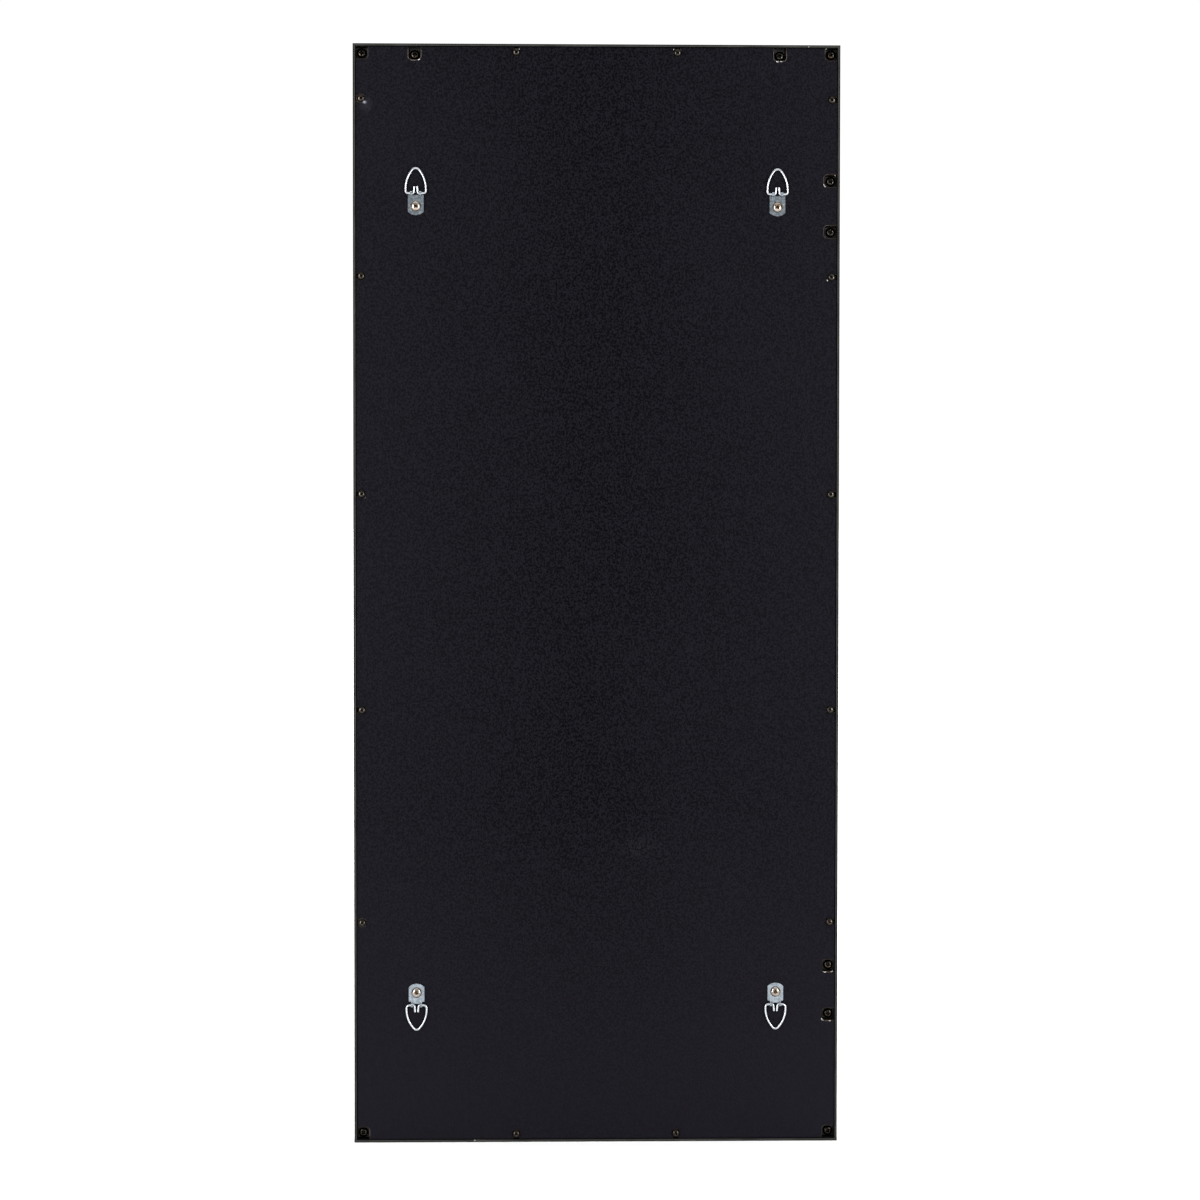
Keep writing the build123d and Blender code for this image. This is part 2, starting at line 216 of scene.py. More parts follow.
def black_paper():
    """Black embossed paper on the board, with faint clouding, dust, a smudge, a pale spot, and painted
    sheen at the sides and foot.
    """
    s = Surface("black_embossed_paper", Specular_IOR_Level=0.02)
    grain = s.noise(640, detail=1, stretch=(1.1, 1, 0.9))
    fine = s.noise(1500, detail=1)
    clouds = s.noise(7, detail=2)
    x, _, z = s.axes()
    # Painted sheen: the next two masks lighten the paper towards the sides and towards the foot.
    side_sheen = s.spread(s.compute("ABSOLUTE", x), SHEEN_SIDES_FROM, half_width)
    low = s.spread(z, SHEEN_FOOT_FROM, SHEEN_FOOT_TO)
    tone = s.mix(s.spread(grain, 0.38, 0.62), PAPER_PIT, PAPER_RIDGE)
    tone = s.mix(s.spread(fine, 0.3, 0.7, 0.0, 0.25), tone, PAPER_FLECK)
    tone = s.mix(s.times(side_sheen, 0.30), tone, SHEEN_AND_CLOUD_BLACK)
    tone = s.mix(s.times(low, 0.60), tone, FOOT_SHEEN_BLACK)
    tone = s.mix(s.spread(clouds, 0.5, 0.8, 0.0, 0.12), tone, SHEEN_AND_CLOUD_BLACK)
    smudge = s.times(s.spot(SMUDGE_AT, SMUDGE_RADII), s.spread(grain, 0.35, 0.6))
    tone = s.mix(s.times(smudge, 0.12), tone, SMUDGE_GREY)
    # The pale bluish spot beside a small screw and its fainter tail.
    tail = s.times(s.spot(PALE_TAIL_AT, PALE_TAIL_RADII), s.spread(fine, 0.1, 0.9))
    tone = s.mix(s.times(tail, 0.20), tone, PALE_TAIL_GREY)
    pale_spot = s.spread(s.spot(PALE_SPOT_AT, PALE_SPOT_RADII), 0.05, 0.9)
    tone = s.mix(s.times(pale_spot, 0.6), tone, PALE_SPOT_GREY)
    distance, cell_colour = s.cells(SPECK_CELLS_PER_METRE)
    rare = s.compute("GREATER_THAN", cell_colour, SPECK_RARITY)
    near = s.compute("LESS_THAN", distance, SPECK_REACH)
    tone = s.mix(s.times(s.times(rare, near), 0.22), tone, SPECK_GREY)
    s.colour(tone)
    s.rough(s.spread(grain, 0.2, 0.8, 0.52, 0.70))
    s.bump(grain, EMBOSSING_DEPTH)
    return s.material


# Other finishes

FIBRE_RELIEF = 0.00012
ORANGE_PEEL_DEPTH = 0.00003
PLATE_GRAIN_DEPTH = 0.000003
# Painted highlight on the frame's rear rim: a band inward of its outer edge, lightened to the pale
# scratch tone.
RIM_HIGHLIGHT_BAND = (0.30 * MM, 0.02 * MM)
RIM_HIGHLIGHT_INSET = (0.60 * MM, 0.90 * MM)
DULLED_BAND = (3.0 * MM, 1.2 * MM)
COAT_SPECULAR = 0.24
DULLED_SPECULAR = 0.015
# Below the crown's edge the painted shade on a screw head eases to a dimmed plate colour.
RIM_LIFT_BAND = 0.2 * MM
RIM_LIFT_SHARE = 0.45
PORE_BLACK = (0.004, 0.004, 0.004)


def fibreboard(name, pale, dark):
    """Pressed wood fibre, for the cut edges of the board and for torn paper."""
    s = Surface(name, Specular_IOR_Level=0.2)
    fibre = s.noise(1400, detail=4, roughness=0.7, stretch=(0.4, 1.6, 1))
    clump = s.noise(330, detail=2)
    tone = s.mix(s.spread(fibre, 0.3, 0.72), dark, pale)
    tone = s.mix(s.spread(clump, 0.45, 0.7, 0.0, 0.6), tone, dark)
    s.colour(tone)
    s.rough(s.spread(fibre, 0.2, 0.8, 0.8, 0.96))
    s.bump(fibre, FIBRE_RELIEF)
    return s.material


def powder_coat(name, tone, rubbed_and_lit_tone, gloss, rim_highlight=0.0):
    """Satin black powder coat with fine orange peel. Its rear rim may carry a painted highlight and a
    duller specular.
    """
    s = Surface(name, Specular_IOR_Level=COAT_SPECULAR)
    peel = s.noise(950, detail=2, roughness=0.45)
    flow = s.noise(45, detail=3)
    scratch = s.noise(60, detail=5, roughness=0.75, stretch=(9, 9, 0.6))
    colour = s.mix(s.spread(peel, 0.3, 0.7), tone, [c * 1.35 for c in tone])
    colour = s.mix(s.spread(scratch, 0.66, 0.8, 0.0, 0.5), colour, rubbed_and_lit_tone)
    if rim_highlight:
        # Painted highlight: inward of its outer edge the rear rim is lightened to the pale scratch tone
        # in flowing patches, standing in for light caught by the rim.
        x, y, z = s.axes()
        highlight_from, highlight_to = (rim_y - depth for depth in RIM_HIGHLIGHT_BAND)
        rear = s.spread(y, highlight_from, highlight_to, 0.0, rim_highlight)
        from_side = s.compute("SUBTRACT", half_width, s.compute("ABSOLUTE", x))
        from_end = s.compute("SUBTRACT", half_height, s.compute("ABSOLUTE", z))
        inward = s.spread(s.compute("MINIMUM", from_side, from_end), *RIM_HIGHLIGHT_INSET)
        painted_rim_highlight = s.times(s.times(rear, inward), s.spread(flow, 0.2, 0.65, 0.25, 1.0))
        colour = s.mix(painted_rim_highlight, colour, rubbed_and_lit_tone)
        dulled_from, dulled_to = (rim_y - depth for depth in DULLED_BAND)
        dulled = s.spread(y, dulled_from, dulled_to, COAT_SPECULAR, DULLED_SPECULAR)
        s.feed(s.shader.inputs["Specular IOR Level"], dulled)
    s.colour(colour)
    s.rough(s.spread(flow, 0.3, 0.7, gloss - 0.12, gloss + 0.12))
    s.bump(peel, ORANGE_PEEL_DEPTH)
    return s.material


def plated(name, bright, dull, low_rough, high_rough, stain=None, wave=0.0, crown=None):
    """Zinc or nickel plate, cloudy with a few dull stains.

    A crown keeps the plate tone down to one depth and takes painted shade, on the dome's sides
    and in the recess, from a deeper one on. Below its edge the shade eases to a dimmed plate colour.
    """
    s = Surface(name, Metallic=1.0)
    cloud = s.noise(420, detail=3, roughness=0.6)
    grainy, _ = s.cells(1500)
    tone = s.mix(s.spread(cloud, 0.35, 0.7), dull, bright)
    tone = s.mix(s.spread(grainy, 0.3, 0.8, 0.0, 0.25), tone, dull)
    if stain:
        tone = s.mix(s.spread(s.noise(240, detail=2), 0.52, 0.7, 0.0, 0.7), tone, stain)
    # Painted shade: below the crown the head turns dark on the dome's sides and in the recess, standing
    # in for the dark surroundings it reflects and the shade in the recess.
    if crown:
        _, y, _ = s.axes()
        top_y = crown["top_y"]
        edge_y = top_y - crown["edge"]
        rim_lift = s.spread(y, edge_y, edge_y - RIM_LIFT_BAND)
        sides = s.mix(rim_lift, crown["dark"], [RIM_LIFT_SHARE * c for c in dull])
        tone = s.mix(s.spread(y, top_y - crown["burnished"], top_y - crown["blackened"]), tone, sides)
    s.colour(tone)
    s.rough(s.spread(cloud, 0.3, 0.75, low_rough, high_rough))
    s.bump(s.noise(1100, detail=2), PLATE_GRAIN_DEPTH)
    if wave:
        s.bump(s.noise(90, detail=1), wave)
    return s.material


def silvered_glass():
    """Silvered float glass: a bright layer under a clear one, with a little dust and wiping."""
    s = Surface("silvered_glass", Metallic=1.0, Coat_Weight=1.0, Coat_Roughness=0.01, Coat_IOR=1.52)
    wiping = s.noise(9, detail=5, roughness=0.6, stretch=(1, 1, 0.35), distortion=0.6)
    dust = s.noise(1900, detail=2)
    s.colour(s.mix(s.spread(wiping, 0.4, 0.75), (0.66, 0.70, 0.69), (0.60, 0.64, 0.63)))
    film = s.spread(wiping, 0.5, 0.85, 0.008, 0.035)
    s.rough(s.compute("ADD", film, s.spread(dust, 0.68, 0.85, 0.0, 0.10)))
    return s.material


def soft_black(name, tone, pores_per_metre, depth):
    """Closed-cell foam or rubber, with pores and a dusty bloom."""
    s = Surface(name, Specular_IOR_Level=0.3)
    pores, _ = s.cells(pores_per_metre)
    bloom = s.noise(80, detail=3)
    colour = s.mix(s.spread(bloom, 0.4, 0.75), tone, [c * 2.0 for c in tone])
    s.colour(s.mix(s.spread(pores, 0.0, 0.4, 0.6, 0.0), colour, PORE_BLACK))
    s.rough(s.spread(bloom, 0.3, 0.7, 0.8, 0.95))
    s.bump(pores, depth)
    return s.material


# The frame's pale scratch tone also colours the painted highlight on its rear rim.
frame_coat = powder_coat(
    "frame_powder_coat", tone=(0.0034, 0.0033, 0.0036), rubbed_and_lit_tone=(0.036, 0.036, 0.033),
    gloss=0.48, rim_highlight=1.0,
)
sash_coat = powder_coat(
    "sash_powder_coat", tone=(0.0075, 0.0075, 0.0082), rubbed_and_lit_tone=(0.030, 0.030, 0.030), gloss=0.46,
)
board_fibre = fibreboard("board_fibre", pale=(0.026, 0.017, 0.012), dark=(0.007, 0.0045, 0.003))
torn_bright = fibreboard("torn_paper_bright", pale=(0.72, 0.69, 0.64), dark=(0.26, 0.235, 0.20))
torn_dull = fibreboard("torn_paper_dull", pale=(0.105, 0.086, 0.076), dark=(0.034, 0.027, 0.023))


def burnished_screws(node_name, bright, dull, **depths):
    """Dark screws, with painted shade on the dome below the crown and in the recess, eased to a dimmed
    plate colour near the rim.
    """
    crown = dict(top_y=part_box(node_name)[1].y, dark=(0.012, 0.010, 0.008), **depths)
    return plated(
        node_name + "_nickel", bright, dull, low_rough=0.08, high_rough=0.14,
        stain=(0.10, 0.060, 0.036), crown=crown,
    )


small_nickel = burnished_screws(
    "board_screws", bright=(0.085, 0.079, 0.072), dull=(0.046, 0.041, 0.036),
    burnished=0.14 * MM, blackened=0.36 * MM, edge=0.95 * MM,
)
large_nickel = burnished_screws(
    "sash_screws", bright=(0.055, 0.050, 0.045), dull=(0.030, 0.026, 0.022),
    burnished=0.16 * MM, blackened=0.50 * MM, edge=1.10 * MM,
)
# Painted reflection: the hanger screws' domes turn dark brown below the crown, standing in for the dark
# warm surroundings they reflect. The same mask puts painted shade in their recesses.
bright_nickel = plated(
    "bright_nickel", bright=(0.42, 0.385, 0.35), dull=(0.24, 0.205, 0.17),
    low_rough=0.08, high_rough=0.15, stain=(0.24, 0.15, 0.085),
    crown=dict(
        top_y=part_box("hanger_screws")[1].y, dark=(0.075, 0.045, 0.026),
        burnished=0.40 * MM, blackened=1.50 * MM, edge=3.0 * MM,
    ),
)
zinc_plate = plated(
    "zinc_plate", bright=(0.32, 0.365, 0.40), dull=(0.15, 0.175, 0.20),
    low_rough=0.18, high_rough=0.30, wave=0.00005,
)
zinc_wire = plated(
    "zinc_wire", bright=(0.47, 0.49, 0.51), dull=(0.41, 0.43, 0.46), low_rough=0.20, high_rough=0.25,
)

finishes = {
    "frame_": frame_coat,
    "sash_": sash_coat,
    "vertical_bar_": sash_coat,
    "cross_bar_": sash_coat,
    "board_screw_lugs": frame_coat,
    "sash_screw_lugs": frame_coat,
    "sash_ears": sash_coat,
    "mirror_glass": silvered_glass(),
    "glass_tape_": soft_black("foam_tape", (0.020, 0.020, 0.021), 2400, 0.00008),
    "glass_edge_blocks": soft_black("block_rubber", (0.014, 0.014, 0.015), 900, 0.00003),
    "backing_board": board_fibre,
    "backing_paper": black_paper(),
    "hanger_strap_": zinc_plate,
    "hanger_ring_": zinc_wire,
    "board_screws": small_nickel,
    "sash_screws": large_nickel,
    "hanger_screws": bright_nickel,
}


def finish_for(node_name):
    """The finish with the longest key that starts the node's name."""
    keys = [key for key in finishes if node_name.startswith(key)]
    return finishes[max(keys, key=len)]


for node_name, node in nodes.items():
    for material_slot in node.material_slots:
        material_slot.material = finish_for(node_name)


# Pieces

def make_piece(name, points, faces, material, sharp_degrees):
    """A mesh piece of the mirror body, smooth but for edges sharper than sharp_degrees."""
    mesh = bpy.data.meshes.new(name)
    mesh.from_pydata([tuple(p) for p in points], [], faces)
    work = bmesh.new()
    work.from_mesh(mesh)
    bmesh.ops.recalc_face_normals(work, faces=work.faces)
    work.to_mesh(mesh)
    work.free()
    mesh.materials.append(material)
    mesh.shade_smooth()
    mesh.set_sharp_from_angle(angle=math.radians(sharp_degrees))
    piece = bpy.data.objects.new(name, mesh)
    bpy.context.scene.collection.objects.link(piece)
    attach(piece, "mirror")
    return piece


def lathe_faces(ring_count, around, start=0):
    """Faces between rings of points, whose first point has the index start."""
    faces = []
    for ring in range(ring_count - 1):
        for i in range(around):
            a = start + ring * around + i
            b = start + ring * around + (i + 1) % around
            faces.append((a, b, b + around, a + around))
    return faces


# Screws. The recess is in shares of its own reach from the middle of the head.

HEAD_AROUND = 72
HEAD_RINGS = 26
CROWN_POWER = 2.3
FOOT_HEIGHT_SHARE = 0.12
FOOT_RADIUS_SHARE = 0.96
ARM_HALF_WIDTH = 0.22
ARM_EDGE = 0.09
ARM_WIDTH_AT_MIDDLE = 1.25
ARM_NARROWING = 0.45
ARM_END_SLOPE = 0.75
ARM_FLOOR_POWER = 0.8
CONE_RADIUS = 0.68
SHANK_AROUND = 24
SAMPLES_PER_TURN = 4
TIP_SHARE = 0.12
WELD_STEPS_PER_METRE = 1e5
SCREW_SHARP_DEGREES = 32


def cross_recess(x, z, reach, depth):
    """Depth of a crosshead recess at x, z: two tapered arms and a cone in the middle."""
    edge = ARM_EDGE * reach
    deepest = 0.0
    for along, across in ((abs(x), abs(z)), (abs(z), abs(x))):
        half_arm = ARM_HALF_WIDTH * reach * (ARM_WIDTH_AT_MIDDLE - ARM_NARROWING * along / reach)
        wall = min(1.0, max(0.0, (half_arm + edge - across) / (2 * edge)))
        floor = min(1.0, max(0.0, (reach - along) / (ARM_END_SLOPE * reach)))
        deepest = max(deepest, wall * floor ** ARM_FLOOR_POWER)
    cone = max(0.0, 1.0 - math.hypot(x, z) / (CONE_RADIUS * reach))
    return depth * max(deepest, cone)


def circle(radius, around):
    """Points x, z of a circle, evenly spaced."""
    angles = [2 * math.pi * step / around for step in range(around)]
    return [(radius * math.cos(angle), radius * math.sin(angle)) for angle in angles]


def head_points(radius, height, side_share, recess_reach, recess_depth):
    """A domed head on the plane y = 0, as rings from the middle of the crown to the shank."""
    side_height = side_share * height
    crown = height - side_height
    points = [(0.0, height - recess_depth, 0.0)]
    for ring in range(1, HEAD_RINGS + 1):
        r = radius * math.sin(ring / HEAD_RINGS * math.pi / 2)
        y = side_height + crown * (1 - (r / radius) ** CROWN_POWER) ** (1 / CROWN_POWER)
        for x, z in circle(r, HEAD_AROUND):
            points.append((x, y - cross_recess(x, z, recess_reach, recess_depth), z))
    foot = ((radius, FOOT_HEIGHT_SHARE * side_height), (FOOT_RADIUS_SHARE * radius, 0.0))
    for r, y in foot:
        points += [(x, y, z) for x, z in circle(r, HEAD_AROUND)]
    faces = [(0, 1 + (i + 1) % HEAD_AROUND, 1 + i) for i in range(HEAD_AROUND)]
    faces += lathe_faces(HEAD_RINGS + len(foot), HEAD_AROUND, 1)
    last = 1 + (HEAD_RINGS + len(foot) - 1) * HEAD_AROUND
    faces.append(tuple(range(last, last + HEAD_AROUND)))
    return points, faces


def shank_points(radius, length, pitch, cut, point_length, top):
    """A threaded shank hanging from y = top, whose end tapers over point_length."""
    ring_count = int((length + top) / pitch * SAMPLES_PER_TURN) + 1
    points = []
    for ring in range(ring_count):
        share = ring / (ring_count - 1)
        y = top - share * (length + top)
        taper = min(1.0, (length + y) / point_length) if point_length else 1.0
        taper = TIP_SHARE + (1 - TIP_SHARE) * taper
        for step in range(SHANK_AROUND):
            turn = step / SHANK_AROUND
            phase = (y / pitch + turn) % 1.0
            r = (radius - cut * abs(2 * phase - 1)) * taper
            angle = 2 * math.pi * turn
            points.append((r * math.cos(angle), y, r * math.sin(angle)))
    faces = lathe_faces(ring_count, SHANK_AROUND)
    faces.append(tuple(range(SHANK_AROUND)))
    last = (ring_count - 1) * SHANK_AROUND
    faces.append(tuple(range(last, last + SHANK_AROUND)))
    return points, faces


def solid_places(node_name):
    """Middles in x and z of the separate solids of one CAD node, in order of x and then z."""
    mesh = nodes[node_name].data
    parent = list(range(len(mesh.vertices)))

    def root(i):
        while parent[i] != i:
            parent[i] = parent[parent[i]]
            i = parent[i]
        return i

    welded = {}
    for vertex in mesh.vertices:
        key = tuple(round(c * WELD_STEPS_PER_METRE) for c in vertex.co)
        first = welded.setdefault(key, vertex.index)
        parent[root(vertex.index)] = root(first)
    for edge in mesh.edges:
        parent[root(edge.vertices[0])] = root(edge.vertices[1])
    groups = {}
    for vertex in mesh.vertices:
        groups.setdefault(root(vertex.index), []).append(vertex.co)
    places = []
    for group in groups.values():
        low = Vector(map(min, *group))
        high = Vector(map(max, *group))
        places.append((round((low.x + high.x) / 2, 6), round((low.z + high.z) / 2, 6)))
    return sorted(places)


def make_screws(node_name, piece_name, material, head, shank, seed):
    """Crosshead screws at every place of one CAD node, each turned by its own amount."""
    places = solid_places(node_name)
    head_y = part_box(node_name)[1].y - head["height"]
    shapes = (head_points(**head), shank_points(**shank))
    turns = random.Random(seed)
    points = []
    faces = []
    for x, z in places:
        angle = turns.uniform(0, math.pi / 2)
        cos_a = math.cos(angle)
        sin_a = math.sin(angle)
        for shape_points, shape_faces in shapes:
            start = len(points)
            for px, py, pz in shape_points:
                points.append((x + px * cos_a - pz * sin_a, head_y + py, z + px * sin_a + pz * cos_a))
            faces += [tuple(start + i for i in face) for face in shape_faces]
    piece = make_piece(piece_name, points, faces, material, SCREW_SHARP_DEGREES)
    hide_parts(node_name)
    return places


small_places = make_screws(
    "board_screws", "board_screws_crosshead", small_nickel,
    head=dict(radius=3.25 * MM, height=2.7 * MM, side_share=0.35,
              recess_reach=1.6 * MM, recess_depth=1.5 * MM),
    shank=dict(radius=1.75 * MM, length=12.0 * MM, pitch=0.6 * MM, cut=0.26 * MM,
               point_length=0.0, top=0.3 * MM),
    seed=SEED,
)
large_places = make_screws(
    "sash_screws", "sash_screws_crosshead", large_nickel,
    head=dict(radius=4.0 * MM, height=3.1 * MM, side_share=0.35,
              recess_reach=2.1 * MM, recess_depth=1.8 * MM),
    shank=dict(radius=2.0 * MM, length=5.0 * MM, pitch=0.7 * MM, cut=0.30 * MM,
               point_length=0.0, top=0.3 * MM),
    seed=SEED + 1,
)
make_screws(
    "hanger_screws", "hanger_screws_crosshead", bright_nickel,
    head=dict(radius=4.3 * MM, height=2.6 * MM, side_share=0.12,
              recess_reach=2.1 * MM, recess_depth=1.7 * MM),
    shank=dict(radius=1.95 * MM, length=10.0 * MM, pitch=1.3 * MM, cut=0.45 * MM,
               point_length=3.0 * MM, top=0.3 * MM),
    seed=SEED + 2,
)


# Cut-outs in the paper, whose torn edges follow

NOTCH_INNER = 3.3 * MM
NOTCH_REACH = 13.3 * MM
NOTCH_HALF = 5.2 * MM
NOTCH_CORNER = 3.0 * MM
CORNER_INNER = 2.9 * MM
CORNER_REACH = 12.6 * MM
CORNER_CORNER = 2.0 * MM
SMALL_RING = 3.4 * MM
WIDE_RING = 4.0 * MM
NEARLY_ROUND = 0.01 * MM
HALVINGS = 24

notch_half_deep = (NOTCH_REACH - NOTCH_INNER) / 2
notch_middle = (NOTCH_REACH + NOTCH_INNER) / 2
corner_half = (CORNER_REACH - CORNER_INNER) / 2
corner_middle = (CORNER_REACH + CORNER_INNER) / 2


def rounded_outline(half_x, half_z, corner_radius):
    """Distance from the middle to a rounded rectangle, for each whole degree as seen from behind."""
    reach = []
    for degree in range(360):
        direction = Vector((math.cos(math.radians(degree)), math.sin(math.radians(degree))))
        across = abs(direction.x)
        up = abs(direction.y)
        low, high = 0.0, half_x + half_z
        for _ in range(HALVINGS):
            middle = (low + high) / 2
            past_x = across * middle - half_x
            past_z = up * middle - half_z
            corner_x = max(past_x + corner_radius, 0.0)
            corner_z = max(past_z + corner_radius, 0.0)
            inside = math.hypot(corner_x, corner_z) <= corner_radius and max(past_x, past_z) <= 0
            low, high = (middle, high) if inside else (low, middle)
        reach.append(low)
    return reach


top_notch = rounded_outline(NOTCH_HALF, notch_half_deep, NOTCH_CORNER)
side_notch = rounded_outline(notch_half_deep, NOTCH_HALF, NOTCH_CORNER)
corner_notch = rounded_outline(corner_half, corner_half, CORNER_CORNER)
small_ring = rounded_outline(SMALL_RING, SMALL_RING, SMALL_RING - NEARLY_ROUND)
wide_ring = rounded_outline(WIDE_RING, WIDE_RING, WIDE_RING - NEARLY_ROUND)


def nearest(places, x, z):
    return min(places, key=lambda p: math.hypot(p[0] - x, p[1] - z))


def at_top(x):
    """Middle of the top notch whose large screw is nearest to x."""
    return (nearest(large_places, x, half_height)[0], half_height - notch_middle)


def at_side(z):
    """Middle of the side notch whose large screw is nearest to z."""
    return (-half_width + notch_middle, nearest(large_places, -half_width, z)[1])


def at_corner(x_sign, z_sign):
    return (x_sign * (half_width - corner_middle), z_sign * (half_height - corner_middle))


def at_slot(x, z):
    return nearest(small_places, x, z)


# Torn edges of the paper round the cut-outs

RAGGED_STEP = 0.35 * MM
FEWEST_STEPS = 5
FADE_RATE = 5
FADE_END = 0.25
TEAR_WIDTH_SHARES = (0.55, 1.2)
TEAR_LIFTS = (0.05, 0.16)
TEAR_UNDERCUT = 0.04 * MM
TEAR_SHARP_DEGREES = 50


def torn_strip(centre, reach, start, end, width, rng):
    """A ragged raised strip just outside a cut-out: its points in rows of five and its faces."""
    x0, z0 = centre
    middle_reach = reach[int((start + end) / 2) % 360]
    count = max(FEWEST_STEPS, int(math.radians(end - start) * middle_reach / RAGGED_STEP))
    points = []
    for i in range(count + 1):
        share = i / count
        angle = start + share * (end - start)
        base = reach[int(round(angle)) % 360]
        fade = min(1.0, FADE_RATE * share + FADE_END, FADE_RATE * (1 - share) + FADE_END)
        spread = width * fade * rng.uniform(*TEAR_WIDTH_SHARES)
        inner = base - TEAR_UNDERCUT * rng.random()
        direction = Vector((-math.cos(math.radians(angle)), 0, math.sin(math.radians(angle))))
        lift = rng.uniform(*TEAR_LIFTS) * MM
        rows = (
            (inner, board_y + 0.02 * MM),
            (inner + 0.1 * spread, paper_y - 0.02 * MM + lift),
            (inner + 0.6 * spread, paper_y + 0.02 * MM + 0.6 * lift),
            (inner + spread, paper_y + 0.004 * MM),
            (inner + 0.5 * spread, paper_y - 0.12 * MM),
        )
        for distance, y in rows:
            spot = Vector((x0, 0, z0)) + direction * distance
            points.append((spot.x, y, spot.z))
    row = len(rows)
    faces = lathe_faces(count + 1, row)
    faces.append(tuple(reversed(range(row))))
    faces.append(tuple(range(count * row, count * row + row)))
    return points, faces


def tear(name, centre, reach, material, strips):
    """One torn place: strips are (start angle, end angle, width in mm)."""
    rng = random.Random(f"{SEED}{name}")
    points = []
    faces = []
    for start, end, width in strips:
        strip_points, strip_faces = torn_strip(centre, reach, start, end, width * MM, rng)
        offset = len(points)
        points += strip_points
        faces += [tuple(offset + i for i in face) for face in strip_faces]
    make_piece(name, points, faces, material, TEAR_SHARP_DEGREES)


# Each tear's name, middle, outline, paper and strips. Angles are as seen from behind: 0 points
# to the left of the mirror (-X), 90 up, so they grow anticlockwise in the camera's view.

tears = [
    ("tear_top_right_pale", at_top(0.151), top_notch, torn_bright, [(298, 316, 0.75)]),
    ("tear_top_right_dull", at_top(0.151), top_notch, torn_dull,
     [(140, 232, 0.6), (230, 296, 0.8), (318, 398, 0.55)]),
    ("tear_top_left_pale", at_top(-0.152), top_notch, torn_bright, [(236, 256, 1.1), (268, 292, 0.55)]),
    ("tear_top_left_dull", at_top(-0.152), top_notch, torn_dull,
     [(138, 234, 0.55), (256, 268, 0.7), (294, 396, 0.5)]),
    ("tear_corner_top_right", at_corner(1, 1), corner_notch, torn_dull, [(318, 402, 0.35)]),
    ("tear_corner_top_left", at_corner(-1, 1), corner_notch, torn_bright, [(126, 138, 0.45)]),
    ("tear_corner_top_left_dull", at_corner(-1, 1), corner_notch, torn_dull, [(140, 176, 0.45)]),
    ("tear_corner_bottom_right", at_corner(1, -1), corner_notch, torn_dull, [(328, 404, 0.6)]),
    ("tear_side_345", at_side(0.345), side_notch, torn_bright, [(206, 236, 0.6), (42, 50, 0.45)]),
    ("tear_side_345_dull", at_side(0.345), side_notch, torn_dull, [(100, 204, 0.4)]),
    ("tear_side_303", at_side(0.303), side_notch, torn_dull, [(96, 262, 0.35)]),
    ("tear_side_310", at_side(-0.310), side_notch, torn_bright, [(234, 262, 0.5), (296, 318, 0.4)]),
    ("tear_side_310_dull", at_side(-0.310), side_notch, torn_dull, [(262, 296, 0.45)]),
    ("tear_side_351", at_side(-0.351), side_notch, torn_bright, [(212, 240, 0.5), (282, 300, 0.5)]),
    ("tear_side_351_dull", at_side(-0.351), side_notch, torn_dull, [(240, 282, 0.5)]),
    ("tear_slot_top_right", at_slot(0.067, half_height), small_ring, torn_bright, [(36, 56, 0.55)]),
    ("tear_slot_top_left", at_slot(-0.067, half_height), wide_ring, torn_bright, [(134, 146, 0.5)]),
    ("tear_slot_top_left_dull", at_slot(-0.067, half_height), small_ring, torn_dull,
     [(30, 54, 0.45), (172, 196, 0.35)]),
    ("tear_slot_412", at_slot(half_width, 0.412), small_ring, torn_dull,
     [(8, 290, 0.30), (332, 352, 0.3)]),
    ("tear_slot_412_pale", at_slot(half_width, 0.412), small_ring, torn_bright, [(300, 326, 0.5)]),
    ("tear_slot_85", at_slot(half_width, 0.085), wide_ring, torn_dull, [(296, 328, 0.5)]),
    ("tear_slot_273", at_slot(half_width, -0.273), small_ring, torn_dull, [(5, 350, 0.25)]),
    ("tear_slot_265", at_slot(-half_width, 0.265), wide_ring, torn_bright, [(206, 228, 0.6)]),
]
for each_tear in tears:
    tear(*each_tear)


# Chips on the frame's rear rim, through the coat to the primer

CHIP_SIDES = 11
CHIP_TOP = 0.03 * MM
CHIP_EDGE = 0.015 * MM
CHIP_FOOT = 0.05 * MM
CHIP_WOBBLE = (0.7, 1.0)
CHIP_SHARP_DEGREES = 60


def rim_chip(name, x, from_end, half_size, material, seed):
    """A thin, uneven flake lying on the rim, with points round its edge and one raised middle.

    Its middle is from_end inside the top rail, or inside the bottom rail where that is negative.
    """
    z = math.copysign(half_height, from_end) - from_end
    half_long, half_high = half_size
    rng = random.Random(seed)
    edge = [rng.uniform(*CHIP_WOBBLE) for _ in range(CHIP_SIDES)]
    foot = [1.0] * CHIP_SIDES
    points = [(x, rim_y + CHIP_TOP, z)]
    for y, wobbles in ((rim_y + CHIP_EDGE, edge), (rim_y - CHIP_FOOT, foot)):
        for (px, pz), wobble in zip(circle(1.0, CHIP_SIDES), wobbles):
            points.append((x + half_long * px * wobble, y, z + half_high * pz * wobble))
    faces = [(0, 1 + (i + 1) % CHIP_SIDES, 1 + i) for i in range(CHIP_SIDES)]
    faces += lathe_faces(2, CHIP_SIDES, 1)
    faces.append(tuple(1 + CHIP_SIDES + i for i in range(CHIP_SIDES)))
    make_piece(name, points, faces, material, CHIP_SHARP_DEGREES)


rim_chip("chip_bottom_rim", 0.0965, -1.7 * MM, (4.6 * MM, 0.22 * MM), torn_dull, SEED)
rim_chip("chip_bottom_rim_pale", 0.1015, -1.6 * MM, (0.7 * MM, 0.32 * MM), torn_bright, SEED + 1)
rim_chip("chip_top_rim", -0.1755, 1.5 * MM, (0.45 * MM, 0.3 * MM), torn_bright, SEED + 2)


# Studio: a pale floor, a white surround and soft boxes

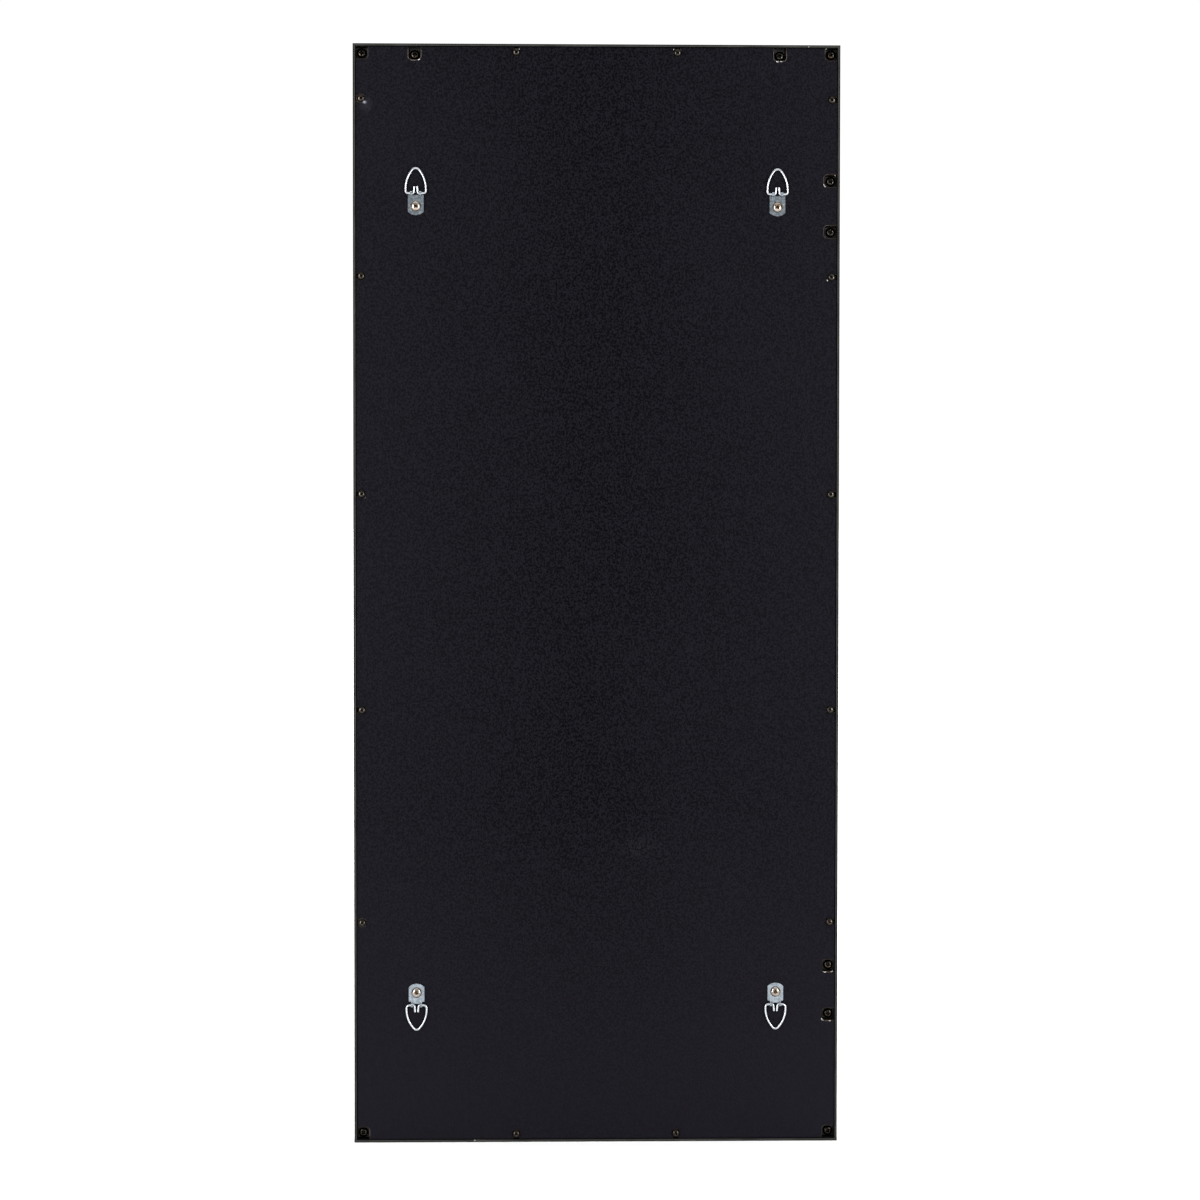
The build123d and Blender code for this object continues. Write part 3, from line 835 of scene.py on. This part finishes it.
FLOOR_HALF = 60.0
SEEN_WHITE = 1.05
SKY_HAZE = 0.32
SKY_GLOW = 0.85
GLOW_TOP = 0.24
SKY_ZENITH = 4.0
SKY_POWER = 3.0


def stage_floor():
    mesh = bpy.data.meshes.new("studio_floor")
    corners = [(x * FLOOR_HALF, y * FLOOR_HALF, floor_z) for x, y in ((-1, -1), (1, -1), (1, 1), (-1, 1))]
    mesh.from_pydata(corners, [], [(0, 1, 2, 3)])
    floor = bpy.data.objects.new("studio_floor", mesh)
    bpy.context.scene.collection.objects.link(floor)
    s = Surface("pale_floor", Specular_IOR_Level=0.1, Roughness=0.9)
    s.colour(s.mix(s.spread(s.noise(3, detail=3), 0.3, 0.7), (0.90, 0.90, 0.90), (0.93, 0.93, 0.93)))
    mesh.materials.append(s.material)


def white_surround():
    """White where the camera sees it. As light it is strong overhead, with a faint glow low down."""
    world = bpy.data.worlds.new("white_surround")
    bpy.context.scene.world = world
    world.use_nodes = True
    work = NodeWork(world.node_tree)
    work.tree.nodes.clear()
    output = work.add("ShaderNodeOutputWorld")
    seen = work.add("ShaderNodeBackground")
    seen.inputs["Color"].default_value = (1, 1, 1, 1)
    seen.inputs["Strength"].default_value = SEEN_WHITE
    direction = work.add("ShaderNodeSeparateXYZ")
    work.feed(direction.inputs["Vector"], work.add("ShaderNodeTexCoord").outputs["Generated"])
    up = direction.outputs["Z"]
    steep = work.compute("POWER", up, SKY_POWER, use_clamp=True)
    level = work.compute("MULTIPLY_ADD", steep, SKY_ZENITH, SKY_HAZE)
    glow = work.spread(up, 0.0, GLOW_TOP, SKY_GLOW, 0.0, interpolation_type="SMOOTHSTEP")
    fill = work.add("ShaderNodeBackground")
    work.feed(fill.inputs["Strength"], work.compute("ADD", level, glow))
    choose = work.add("ShaderNodeMixShader")
    work.feed(choose.inputs["Fac"], work.add("ShaderNodeLightPath").outputs["Is Camera Ray"])
    work.feed(choose.inputs[1], fill.outputs["Background"])
    work.feed(choose.inputs[2], seen.outputs["Background"])
    work.feed(output.inputs["Surface"], choose.outputs["Shader"])


def soft_box(name, place, width, height, watts):
    """A rectangular light aimed at the middle of the mirror, which the camera doesn't see."""
    light = bpy.data.lights.new(name, "AREA")
    light.shape = "RECTANGLE"
    light.size = width
    light.size_y = height
    light.energy = watts
    lamp = bpy.data.objects.new(name, light)
    bpy.context.scene.collection.objects.link(lamp)
    lamp.location = place
    lamp.rotation_euler = (-Vector(place)).to_track_quat("-Z", "Y").to_euler()
    lamp.visible_camera = False


stage_floor()
white_surround()
soft_box("box_back_left", (1.55, 2.3, 0.35), width=0.7, height=1.7, watts=46)
soft_box("box_back_right", (-1.55, 2.3, 0.35), width=0.7, height=1.7, watts=46)
soft_box("box_front_left", (-1.9, -2.6, 1.1), width=1.2, height=1.8, watts=40)
soft_box("box_front_right", (1.9, -2.6, 1.1), width=1.2, height=1.8, watts=40)


# Camera, fitted to the four corners of the rear rim in the photograph

CAMERA_AT = (0.0585, 2.5, 0.0767)
CAMERA_YAW = -0.02454
CAMERA_PITCH = -0.03197
CAMERA_ROLL = 0.00084
FOCAL_PIXELS = 3005.7
FRAME_PIXELS = 1200
SENSOR = 36.0

camera_data = bpy.data.cameras.new("photo_camera")
camera = bpy.data.objects.new("photo_camera", camera_data)
bpy.context.scene.collection.objects.link(camera)
camera_data.sensor_width = SENSOR
camera_data.lens = FOCAL_PIXELS / FRAME_PIXELS * SENSOR
ahead = Vector((
    math.sin(CAMERA_YAW) * math.cos(CAMERA_PITCH),
    -math.cos(CAMERA_YAW) * math.cos(CAMERA_PITCH),
    math.sin(CAMERA_PITCH),
))
camera.location = CAMERA_AT
camera.rotation_mode = "QUATERNION"
camera.rotation_quaternion = ahead.to_track_quat("-Z", "Y") @ Quaternion((0, 0, 1), CAMERA_ROLL)
bpy.context.scene.camera = camera
bpy.context.scene.view_settings.view_transform = "Standard"
bpy.context.scene.cycles.max_bounces = 5
bpy.context.scene.cycles.diffuse_bounces = 2
bpy.context.scene.cycles.glossy_bounces = 3
